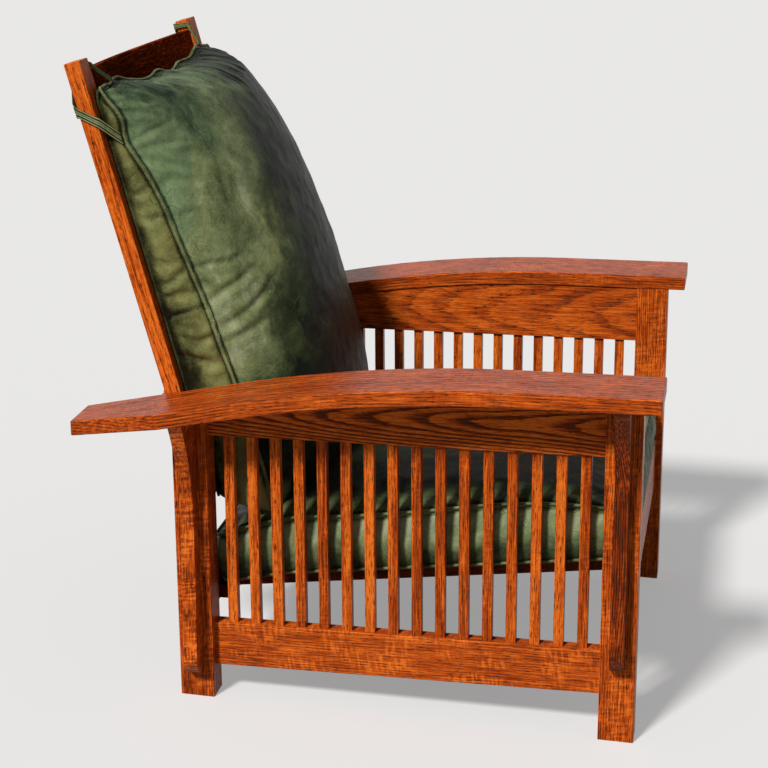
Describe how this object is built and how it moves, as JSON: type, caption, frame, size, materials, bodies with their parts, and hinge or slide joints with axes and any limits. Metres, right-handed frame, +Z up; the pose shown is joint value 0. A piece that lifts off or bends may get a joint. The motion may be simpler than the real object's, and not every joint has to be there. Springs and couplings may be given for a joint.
{
  "type": "reclining armchair",
  "caption": "Mission oak reclining armchair with bowed flat arms, spindle sides, a ladder back that leans on pegs in the arms, and loose leather seat and back cushions.",
  "frame": {"origin": "on the floor, under the middle of the chair's bounding box", "axes": "+Z up, -Y the way the sitter faces, +X the sitter's left"},
  "size_m": [0.88, 0.9728, 1.0167],
  "materials": {
    "stained_oak": "quartersawn oak, reddish brown stain, satin varnish",
    "green_leather": "mottled dark green hide, semi-matt",
    "steel": "plain"
  },
  "bodies": {
    "chair": {"front_leg_right": "stained_oak", "front_leg_left": "stained_oak", "back_leg_right": "stained_oak", "back_leg_left": "stained_oak", "front_corbel_right": "stained_oak", "front_corbel_left": "stained_oak", "back_corbel_right": "stained_oak", "back_corbel_left": "stained_oak", "arm_right": "stained_oak", "arm_left": "stained_oak", "lower_side_rail_right": "stained_oak", "lower_side_rail_left": "stained_oak", "upper_side_rail_right": "stained_oak", "upper_side_rail_left": "stained_oak", "spindles_right": "stained_oak", "spindles_left": "stained_oak", "tenon_pins": "stained_oak", "front_rail": "stained_oak", "back_rail": "stained_oak", "front_cleat": "stained_oak", "back_cleat": "stained_oak", "seat_frame_front": "stained_oak", "seat_frame_back": "stained_oak", "seat_frame_right": "stained_oak", "seat_frame_left": "stained_oak", "seat_slats": "stained_oak", "cleat_screws": "steel", "seat_cushion": "green_leather"},
    "back": {"back_post_right": "stained_oak", "back_post_left": "stained_oak", "back_bottom_rail": "stained_oak", "back_slat_low": "stained_oak", "back_slat_middle": "stained_oak", "back_slat_high": "stained_oak", "crest_slat": "stained_oak", "pivot_pin_right": "steel", "pivot_pin_left": "steel", "pivot_washers": "steel"},
    "back_pad": {"back_cushion": "green_leather", "tie_strap_right": "green_leather", "tie_strap_left": "green_leather"},
    "peg_right": {"support_peg_right": "stained_oak"},
    "peg_left": {"support_peg_left": "stained_oak"}
  },
  "joints": [
    {"name": "back_recline", "type": "hinge", "parent": "chair", "child": "back", "pos_m": [0, 0.24097, 0.345], "axis": [1, 0, 0], "range_deg": [0, 15]},
    {"name": "cushion_lift", "type": "slide", "parent": "back", "child": "back_pad", "axis": [0, 0.2927, 0.9562], "range_m": [0, 0.041]},
    {"name": "peg_right_pull", "type": "slide", "parent": "chair", "child": "peg_right", "axis": [1, 0, 0], "range_m": [0, 0.045]},
    {"name": "peg_left_pull", "type": "slide", "parent": "chair", "child": "peg_left", "axis": [-1, 0, 0], "range_m": [0, 0.045]}
  ],
  "couplings": [
    {"joint": "cushion_lift", "follows": "back_recline", "m_per_rad": 0.155}
  ]
}
